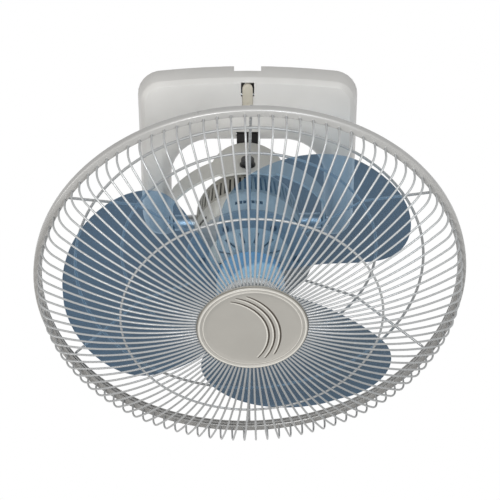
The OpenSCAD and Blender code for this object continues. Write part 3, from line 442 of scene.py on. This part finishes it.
def add_front_spokes():
    points, faces = wire(spoke_path(), SPOKE_WIRE, XZ_NORMAL, SPOKE_SIDES)
    parts = [(turned(points, (i + 0.5) * 2 * math.pi / SPOKES), faces) for i in range(SPOKES)]
    mesh = mesh_from("front_guard_wires", *joined(parts), HEAD)
    add_piece("front_guard_wires", mesh, guard_paint, "head", ["front_spokes"],
              WIRE_ANGLE)


def add_mid_ring():
    """The ring that ties the spokes together, just inside the dome."""
    slope = math.asin((MID_RING_R - DOME_FLAT_R) / DOME_R)
    inner = DOME_R - SPOKE_WIRE - MID_WIRE - MID_GAP
    r = DOME_FLAT_R + inner * math.sin(slope)
    z = DOME_Z + DOME_R - inner * math.cos(slope)
    wire_ring = ring_wire(r, z, MID_WIRE, MID_STEPS, MID_SIDES)
    mesh = mesh_from("front_ring_wire", *wire_ring, HEAD)
    add_piece("front_ring_wire", mesh, guard_paint, "head", ["front_mid_ring"],
              WIRE_ANGLE)


add_front_spokes()
add_mid_ring()

# ---- blades ----------------------------------------------------------------

BLADES = 3
BLADE_R = 196 * MM
BLADE_Z = -108.5 * MM
BLADE_T = 2.2 * MM
HUB_R = 36 * MM
BLADE_ROOT_R = HUB_R - 1.2 * MM
PITCH_ROOT, PITCH_TIP = 20, 9
BLADE_PHASE = 59
LEAD_ROOT, LEAD_FULL, LEAD_FULL_R, LEAD_ROUND = 38, 54, 125 * MM, 2.4
TRAIL_ROOT, TRAIL_SLOPE, TRAIL_FULL_R, TRAIL_ROUND = 64, 220, 140 * MM, 2.6
CAMBER, BLADE_DROP = 0.045, 0.02
EDGE_SHARE, EDGE_POWER = 0.35, 0.35  # thickness at the edges, and how fast it grows inwards
TIP_TRIM = 0.4 * MM
RADIAL_STEPS, CHORD_STEPS = 44, 32

HUB_FRONT, HUB_REAR = BLADE_Z - 18.5 * MM, BLADE_Z + 18 * MM
HUB_WALL, HUB_FLOOR = 2.5 * MM, 3 * MM
HUB_ROUND, HUB_CHAMFER = 1.6 * MM, 0.4 * MM
SLEEVE_R, SHAFT_R, SLEEVE_TOP = 9 * MM, 4.03 * MM, BLADE_Z + 10 * MM
HUB_STEPS = 96
HUB_RIBS = 6
HUB_RIB_LOW, HUB_RIB_HIGH = BLADE_Z - 16 * MM, BLADE_Z + 4 * MM
HUB_RIB_IN, HUB_RIB_OUT, HUB_RIB_HALF = 8.5 * MM, HUB_R - 1.5 * MM, 1 * MM


def closing(r, full_r, power):
    """The share of a blade's angle that is left as its outline closes towards the tip."""
    if r <= full_r:
        return 1
    return math.sqrt(max(0, 1 - ((r - full_r) / (BLADE_R - full_r)) ** power))


def lead_angle(r):
    if r < LEAD_FULL_R:
        share = math.sin(math.pi / 2 * (r - BLADE_ROOT_R) / (LEAD_FULL_R - BLADE_ROOT_R))
        return LEAD_ROOT + (LEAD_FULL - LEAD_ROOT) * share
    return LEAD_FULL * closing(r, LEAD_FULL_R, LEAD_ROUND)


def trail_angle(r):
    return closing(r, TRAIL_FULL_R, TRAIL_ROUND) * (TRAIL_ROOT - TRAIL_SLOPE * (r - BLADE_ROOT_R))


def blade_height(r, s):
    """Height of the middle surface; s runs from 0 at the trailing edge to 1 at the leading one."""
    chord = r * math.radians(lead_angle(r) + trail_angle(r))
    share = (r - BLADE_ROOT_R) / (BLADE_R - BLADE_ROOT_R)
    pitch = math.radians(PITCH_TIP + (PITCH_ROOT - PITCH_TIP) * (1 - share))
    bulge = CAMBER * chord * 4 * s * (1 - s)
    return chord * math.tan(pitch) * (s - 0.5) + bulge - BLADE_DROP * chord


def blade_point(r, s, up):
    a = math.radians(-trail_angle(r) + s * (lead_angle(r) + trail_angle(r)))
    half = BLADE_T * (EDGE_SHARE + (1 - EDGE_SHARE) * (4 * s * (1 - s)) ** EDGE_POWER) / 2
    return Vector((r * math.cos(a), r * math.sin(a), blade_height(r, s) + up * half + BLADE_Z))


def one_blade():
    """A blade along +X: rings of points round its section, closer together towards the tip."""
    points = []
    reach = BLADE_R - TIP_TRIM - BLADE_ROOT_R
    for i in range(RADIAL_STEPS + 1):
        r = BLADE_ROOT_R + reach * math.sin(math.pi / 2 * i / RADIAL_STEPS)
        points += [blade_point(r, k / CHORD_STEPS, 1) for k in range(CHORD_STEPS + 1)]
        points += [blade_point(r, k / CHORD_STEPS, -1) for k in range(CHORD_STEPS, -1, -1)]
    return points, rings_to_faces(RADIAL_STEPS + 1, 2 * (CHORD_STEPS + 1), False)


def hub_shell():
    """The blade hub: a cup open at the rear, with a sleeve for the shaft."""
    inner_r, floor_z = HUB_R - HUB_WALL, HUB_FRONT + HUB_FLOOR
    profile = [(SHAFT_R, HUB_FRONT), (HUB_R - HUB_ROUND, HUB_FRONT)]
    profile += arc(HUB_R - HUB_ROUND, HUB_FRONT + HUB_ROUND, HUB_ROUND, -75, 0, 5)
    profile += [(HUB_R, HUB_REAR - HUB_CHAMFER), (HUB_R - HUB_CHAMFER, HUB_REAR),
                (inner_r + HUB_CHAMFER, HUB_REAR), (inner_r, HUB_REAR - HUB_CHAMFER),
                (inner_r, floor_z), (SLEEVE_R, floor_z), (SLEEVE_R, SLEEVE_TOP),
                (SHAFT_R, SLEEVE_TOP)]
    return revolve(profile, HUB_STEPS)


def hub_ribs():
    """The flat ribs between the hub's sleeve and its wall."""
    outline = ((HUB_RIB_IN, -HUB_RIB_HALF), (HUB_RIB_OUT, -HUB_RIB_HALF),
               (HUB_RIB_OUT, HUB_RIB_HALF), (HUB_RIB_IN, HUB_RIB_HALF))
    parts = []
    for i in range(HUB_RIBS):
        out, side = outward(math.radians(i * 360 / HUB_RIBS + 30))
        corners = [out * r + side * w + UP * z for z in (HUB_RIB_LOW, HUB_RIB_HIGH)
                   for r, w in outline]
        parts.append((corners, rings_to_faces(2, 4, False)))
    return parts


def add_blades():
    points, faces = one_blade()
    parts = []
    for i in range(BLADES):
        parts.append((turned(points, math.radians(BLADE_PHASE + i * 360 / BLADES)), faces))
    mesh = mesh_from("blade_wheel", *joined(parts), HEAD)
    add_piece("blade_wheel", mesh, blade_blue, "rotor", ["blades"])
    mesh = mesh_from("blade_hub", *joined([hub_shell()] + hub_ribs()), HEAD)
    add_piece("blade_hub", mesh, hub_painted_light_blue, "rotor", ["blades"])


add_blades()

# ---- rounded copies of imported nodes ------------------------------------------

MERGE_DISTANCE = 0.00001
FLAT_ANGLE = math.radians(0.8)
EDGE_ANGLE = math.radians(32)
BASE_NARROWER = (0.975, 1, 1)


def bevelled(mesh, width, steps):
    """A copy of a mesh with its sharp edges rounded."""
    holder = bpy.data.objects.new("holder", mesh)
    bpy.context.scene.collection.objects.link(holder)
    bevel = holder.modifiers.new("bevel", "BEVEL")
    bevel.width = width
    bevel.segments = steps
    bevel.limit_method = "ANGLE"
    bevel.angle_limit = EDGE_ANGLE
    bevel.use_clamp_overlap = True
    graph = bpy.context.evaluated_depsgraph_get()
    result = bpy.data.meshes.new_from_object(holder.evaluated_get(graph), depsgraph=graph)
    bpy.data.objects.remove(holder)
    return result


def rounded_copy(name, node_name, material, body, width, scale=(1, 1, 1), steps=2,
                 sharp=SMOOTH_ANGLE):
    """A node's own shape as a new mesh, with its flat facets merged and its edges rounded."""
    source = frame["nodes"][node_name]
    mesh = source.data.copy()
    mesh.transform(Matrix.Diagonal((*scale, 1)) @ source.matrix_world)
    bm = bmesh.new()
    bm.from_mesh(mesh)
    bmesh.ops.remove_doubles(bm, verts=bm.verts, dist=MERGE_DISTANCE)
    bmesh.ops.dissolve_limit(bm, angle_limit=FLAT_ANGLE, verts=bm.verts, edges=bm.edges)
    bm.to_mesh(mesh)
    bm.free()
    if width:
        mesh = bevelled(mesh, width, steps)
    return add_piece(name, mesh, material, body, [node_name], sharp)


rounded_copy("base_shell", "base_housing", housing_grey, "base", 1.0 * MM,
             BASE_NARROWER)
rounded_copy("latch_tongue", "latch_lever", latch_cream, "latch", 0.9 * MM, steps=3)
rounded_copy("pivot_strap", "pivot_bracket", bracket_black, "base", 0.7 * MM)
rounded_copy("roll_cap", "pivot_cap", bush_black, "base", 1.2 * MM, steps=3)
rounded_copy("rear_shell", "rear_cover", motor_cream, "head", 0.5 * MM)
rounded_copy("front_shell", "front_cover", motor_cream_painted_light, "head", 0.7 * MM)
rounded_copy("spinner_cap", "hub_cap", hub_white, "rotor", 0.8 * MM)
rounded_copy("guard_collar", "rear_guard_collar", guard_paint, "head", 0.6 * MM)
rounded_copy("gear_housing", "gearbox_case", gearbox_grey, "head", 0.7 * MM)
rounded_copy("gear_lid", "gearbox_cover", gearbox_grey, "head", 0.5 * MM)
for wire_name, wire_node in (("rib_wires", "rear_ribs"), ("rear_wire_inner", "rear_ring_inner"),
                             ("rear_wire_outer", "rear_ring_outer")):
    rounded_copy(wire_name, wire_node, guard_paint, "head", 0, sharp=WIRE_ANGLE)

# ---- rim ---------------------------------------------------------------------

RIM_INNER_R = RIM_R - RIM_W
RIM_ROUND = 2.2 * MM
RIM_CHAMFER = 0.6 * MM
RIM_STEPS = 200
GROOVES = ((RIM_FRONT + 1.3 * MM, RIM_FRONT + 3.1 * MM),
           (RIM_FRONT + 5.7 * MM, RIM_FRONT + 7.5 * MM))
GROOVE_DEPTH = 3.6 * MM
# Gap to the groove walls and thickness of the dark rings of painted shade in the grooves
GROOVE_SHADE_GAP, GROOVE_SHADE_T = 0.05 * MM, 1.2 * MM


def rim_profile():
    """Rounded outside, two grooves along the inner wall."""
    outline = arc(RIM_R - RIM_ROUND, RIM_FRONT + RIM_ROUND, RIM_ROUND, -90, 0, 6)
    outline += arc(RIM_R - RIM_ROUND, RIM_BACK - RIM_ROUND, RIM_ROUND, 0, 90, 6)
    outline += [(RIM_INNER_R + RIM_CHAMFER, RIM_BACK), (RIM_INNER_R, RIM_BACK - RIM_CHAMFER)]
    for low, high in reversed(GROOVES):
        outline += [(RIM_INNER_R, high), (RIM_INNER_R + GROOVE_DEPTH, high),
                    (RIM_INNER_R + GROOVE_DEPTH, low), (RIM_INNER_R, low)]
    outline += [(RIM_INNER_R, RIM_FRONT + RIM_CHAMFER), (RIM_INNER_R + RIM_CHAMFER, RIM_FRONT)]
    return outline


def add_rim():
    """The rim band, and a dark ring of painted shade at the bottom of each groove."""
    mesh = mesh_from("rim_band", *revolve(rim_profile(), RIM_STEPS), HEAD)
    add_piece("rim_band", mesh, rim_plastic, "head", ["guard_rim"])
    outer = RIM_INNER_R + GROOVE_DEPTH - GROOVE_SHADE_GAP
    inner = outer - GROOVE_SHADE_T
    groove_shades = []
    for low, high in GROOVES:
        groove_shades.append(revolve([(inner, low + GROOVE_SHADE_GAP), (outer, low + GROOVE_SHADE_GAP),
                               (outer, high - GROOVE_SHADE_GAP), (inner, high - GROOVE_SHADE_GAP)], RIM_STEPS))
    mesh = mesh_from("rim_groove_shades", *joined(groove_shades), HEAD)
    add_piece("rim_groove_shades", mesh, painted_shade_dark, "head", None)


add_rim()

# ---- badge -------------------------------------------------------------------

BADGE_BACK = -165.92 * MM
BADGE_STEPS = 180
# The rest of this part is in mm. (radius, height in front of the back face) of the dished cap,
# with its two raised contours:
BADGE_FACE = ((0, 1.4), (20, 1.42), (37, 1.5), (43, 1.75), (46, 1.95), (47.6, 2.25), (48.8, 2.7),
              (49.9, 2.95), (50.7, 2.95), (51.3, 2.75), (51.8, 2.45), (52.4, 2.6), (53.0, 3.1),
              (53.8, 3.5), (54.6, 3.6), (55.4, 3.45), (56.2, 3.0), (56.9, 2.2), (57.25, 1.5),
              (57, 0))
AXIS_R = 0.02  # a profile stops this short of the axis
STEM_R, STEM_LENGTH = 6, 2.0
# Radii of the badge's raised rings, where painted highlights lie, and the lift of these highlights
RIDGES = ((53.7, 55.2), (50.0, 50.7))
HIGHLIGHT_LIFT = 0.06
# Radii and lift of the dark ring of painted shade round the badge's edge
SHADED_EDGE, SHADED_LIFT = (56.2, 57.2), 0.03
SKIN_DEPTH = 0.4
INK_CENTRE = (-34, 12)
INK_RADII = (50, 56, 62)
INK_REACH = (43, 45, 44)
INK_WIDTH, INK_LIFT = 1.9, 0.12
PALE_SHARE, PALE_LIFT = 0.8, 0.1  # the pale edge along a line, and its width as a share of it
STRIP_DEPTH, STRIP_STEPS = 0.3, 48
STRIP_END = 0.35  # width at the ends of a strip, as a share of the middle


def badge_height(r):
    """Height of the badge's face at a radius."""
    for (r0, h0), (r1, h1) in zip(BADGE_FACE, BADGE_FACE[1:]):
        if r <= r1:
            return h0 + (h1 - h0) * (r - r0) / (r1 - r0)
    return 0


def line_ends(radius, reach):
    """The angles between which an arc round INK_CENTRE stays within reach of the middle."""
    cx, cy = INK_CENTRE
    inside = [a / 2 for a in range(-360, 360)
              if math.hypot(cx + radius * math.cos(math.radians(a / 2)),
                            cy + radius * math.sin(math.radians(a / 2))) < reach]
    return inside[0], inside[-1]


def face_strip(r0, r1, ends, lift):
    """A thin tapering strip on the badge's face between two radii round INK_CENTRE."""
    points = []
    for i in range(STRIP_STEPS + 1):
        a = math.radians(ends[0] + (ends[1] - ends[0]) * i / STRIP_STEPS)
        share = STRIP_END + (1 - STRIP_END) * math.sin(math.pi * i / STRIP_STEPS) ** 0.5
        wide = r0 + (r1 - r0) * share
        for r, up in ((r0, lift), (wide, lift), (wide, -STRIP_DEPTH), (r0, -STRIP_DEPTH)):
            x, y = INK_CENTRE[0] + r * math.cos(a), INK_CENTRE[1] + r * math.sin(a)
            height = badge_height(math.hypot(x, y)) + up
            points.append(Vector((x * MM, y * MM, BADGE_BACK - height * MM)))
    return points, rings_to_faces(STRIP_STEPS + 1, 4, False)


def face_skin(low_r, high_r, lift):
    """A skin over the badge's face between two radii round its middle."""
    stops = [low_r] + [r for r, _ in BADGE_FACE if low_r < r < high_r] + [high_r]
    outline = [(r * MM, BADGE_BACK - (badge_height(r) + lift) * MM) for r in stops]
    outline += [(r * MM, BADGE_BACK - (badge_height(r) - SKIN_DEPTH) * MM)
                for r in reversed(stops)]
    return revolve(outline, BADGE_STEPS)


def add_badge():
    """The dished cap with painted highlights on its two raised rings, painted shade round its
    edge, and three dark lines with pale edges.
    """
    stem_top = BADGE_BACK + STEM_LENGTH * MM
    outline = [(max(r, AXIS_R) * MM, BADGE_BACK - h * MM) for r, h in BADGE_FACE]
    outline += [(STEM_R * MM, BADGE_BACK), (STEM_R * MM, stem_top), (AXIS_R * MM, stem_top)]
    mesh = mesh_from("badge_cap", *revolve(outline, BADGE_STEPS), HEAD)
    add_piece("badge_cap", mesh, badge_satin, "head", ["badge"])
    ridge_highlights = [face_skin(low_r, high_r, HIGHLIGHT_LIFT) for low_r, high_r in RIDGES]
    mesh = mesh_from("badge_ridge_highlights", *joined(ridge_highlights), HEAD)
    add_piece("badge_ridge_highlights", mesh, badge_light, "head", None)
    mesh = mesh_from("badge_edge_shade", *face_skin(*SHADED_EDGE, SHADED_LIFT), HEAD)
    add_piece("badge_edge_shade", mesh, badge_shade, "head", None)
    ends = [line_ends(r, reach) for r, reach in zip(INK_RADII, INK_REACH)]
    ink = [face_strip(r, r + INK_WIDTH, end, INK_LIFT) for r, end in zip(INK_RADII, ends)]
    mesh = mesh_from("badge_lines", *joined(ink), HEAD)
    add_piece("badge_lines", mesh, badge_ink, "head", None)
    pale = [face_strip(r - PALE_SHARE * INK_WIDTH, r, end, PALE_LIFT)
            for r, end in zip(INK_RADII, ends)]
    mesh = mesh_from("badge_line_edges", *joined(pale), HEAD)
    add_piece("badge_line_edges", mesh, badge_light, "head", None)


add_badge()

# ---- painted shade in the slots and vents of the motor covers --------------------

SLOT_Z = -38 * MM
SLOT_H = 5 * MM
SLOT_W = 3.3 * MM
SLOT_PITCH_DEG = 4.2
SLOT_GROUPS = ((270, 7), (213, 4), (193, 3), (327, 4), (347, 3))  # (middle in degrees, count)
COVER_SIDE_R = 59.35 * MM
COVER_TAPER = 0.16 * MM
SLOT_INSIDE, SLOT_PROUD = 1.2 * MM, 0.12 * MM
# Painted shade behind the rear cover's vents: (r, z) in mm of the dark sheet, and how far its back
# lies inwards and down
VENT_SHADE_MM = ((56.0, -19.4), (53.0, 13.2), (45.2, 21.4))
VENT_SHADE_INWARD_MM, VENT_SHADE_DOWN_MM = 0.7, 0.3
VENT_SHADE_STEPS = 120


def add_slot_shades():
    """Dark plates of painted shade that stand for the slots round the side of the front cover."""
    ends = ((SLOT_Z - SLOT_H / 2, COVER_SIDE_R + COVER_TAPER),
            (SLOT_Z + SLOT_H / 2, COVER_SIDE_R - COVER_TAPER))
    outline = ((-SLOT_INSIDE, -1), (SLOT_PROUD, -1), (SLOT_PROUD, 1), (-SLOT_INSIDE, 1))
    parts = []
    for middle, count in SLOT_GROUPS:
        for i in range(count):
            a = math.radians(middle + (i - (count - 1) / 2) * SLOT_PITCH_DEG)
            out, side = outward(a)
            corners = [out * (r + step) + side * (w * SLOT_W / 2) + UP * z for z, r in ends
                       for step, w in outline]
            parts.append((corners, rings_to_faces(2, 4, False)))
    mesh = mesh_from("cover_slot_shades", *joined(parts), HEAD)
    add_piece("cover_slot_shades", mesh, painted_shade_dark, "head", None)


def add_vent_shade():
    """A dark sheet of painted shade just inside the rear cover, seen through its vents."""
    outline = [(r * MM, z * MM) for r, z in VENT_SHADE_MM]
    outline += [((r - VENT_SHADE_INWARD_MM) * MM, (z - VENT_SHADE_DOWN_MM) * MM)
                for r, z in reversed(VENT_SHADE_MM)]
    mesh = mesh_from("vent_shade", *revolve(outline, VENT_SHADE_STEPS), HEAD)
    add_piece("vent_shade", mesh, painted_shade_dark, "head", None)


add_slot_shades()
add_vent_shade()

# ---- light and background ---------------------------------------------------

FLOOR_Z = -2.7
FLOOR_SIZE = 30.0
FLOOR_TONES = ((0.80, 0.80, 0.79), (0.77, 0.77, 0.765))
AMBIENT = 0.26
SEEN_THROUGH = 0.12  # the background's strength where the camera sees it through a blade
LAMP_AIM = GIMBAL + Vector((0, 0, -0.06))
# (name, place, size, power, colour)
LAMPS = (("key", (-0.45, -0.8, -2.25), 0.7, 40, (1, 1, 1)),
         ("near", (0.8, -1.3, -1.1), 0.7, 6, (1, 1, 1)),
         ("side", (-1.7, -0.1, -0.9), 0.8, 9, (1, 1, 1)),
         ("blade_glow", (0.26, -0.62, -0.95), 0.3, 6.0, (0.90, 0.95, 1.0)),
         ("far_side", (1.4, 0.9, -1.0), 1.0, 1.5, (1, 1, 1)))


def add_floor():
    """A plain pale floor far below the ceiling that the fan hangs from."""
    half = FLOOR_SIZE / 2
    mesh = bpy.data.meshes.new("floor")
    corners = [(x * half, y * half, FLOOR_Z) for x, y in ((-1, -1), (1, -1), (1, 1), (-1, 1))]
    mesh.from_pydata(corners, [], [(0, 1, 2, 3)])
    floor = bpy.data.objects.new("floor", mesh)
    bpy.context.scene.collection.objects.link(floor)
    material, tree, shader = new_material("floor_pale")
    tone = spread(tree, noise(tree, 1.5, 2.0), 0.0, 1.0)
    tree.links.new(two_tone(tree, tone, *FLOOR_TONES), shader.inputs["Base Color"])
    shader.inputs["Roughness"].default_value = 0.9
    mesh.materials.append(material)


def add_lamp(name, at, size, power, color):
    data = bpy.data.lights.new(name, "AREA")
    data.shape = "DISK"
    data.size = size
    data.energy = power
    data.color = color
    light = bpy.data.objects.new(name, data)
    light.location = at
    aim = LAMP_AIM - light.location
    light.rotation_euler = aim.to_track_quat("-Z", "Y").to_euler()
    bpy.context.scene.collection.objects.link(light)


def feed(tree, socket, term):
    """Sets a socket to a number, or links it to another node's output."""
    if isinstance(term, float):
        socket.default_value = term
    else:
        tree.links.new(term, socket)


def reckoned(tree, operation, first, second):
    """The result of one sum on two terms."""
    node = tree.nodes.new("ShaderNodeMath")
    node.operation = operation
    feed(tree, node.inputs[0], first)
    feed(tree, node.inputs[1], second)
    return node.outputs["Value"]


def between(tree, factor, low, high):
    """A level that runs from low to high as the factor runs from 0 to 1."""
    node = tree.nodes.new("ShaderNodeMapRange")
    feed(tree, node.inputs["Value"], factor)
    feed(tree, node.inputs["To Min"], low)
    feed(tree, node.inputs["To Max"], high)
    return node.outputs["Result"]


def light_world():
    """Grey light from all round, behind a white background.

    The camera sees white straight on, and SEEN_THROUGH through the blades. Reflections see white.
    """
    world = bpy.data.worlds.new("studio")
    bpy.context.scene.world = world
    world.use_nodes = True
    tree = world.node_tree
    background = tree.nodes["Background"]
    background.inputs["Color"].default_value = (1, 1, 1, 1)
    path = tree.nodes.new("ShaderNodeLightPath").outputs
    nothing_crossed = reckoned(tree, "LESS_THAN", path["Transparent Depth"], 0.5)
    white = reckoned(tree, "MULTIPLY", path["Is Camera Ray"], nothing_crossed)
    for kind in ("Is Glossy Ray", "Is Transmission Ray"):
        white = reckoned(tree, "MAXIMUM", white, path[kind])
    otherwise = between(tree, path["Is Camera Ray"], AMBIENT, SEEN_THROUGH)
    feed(tree, background.inputs["Strength"], between(tree, white, otherwise, 1.0))


add_floor()
light_world()
for lamp in LAMPS:
    add_lamp(*lamp)

bpy.context.scene.view_settings.view_transform = "Standard"
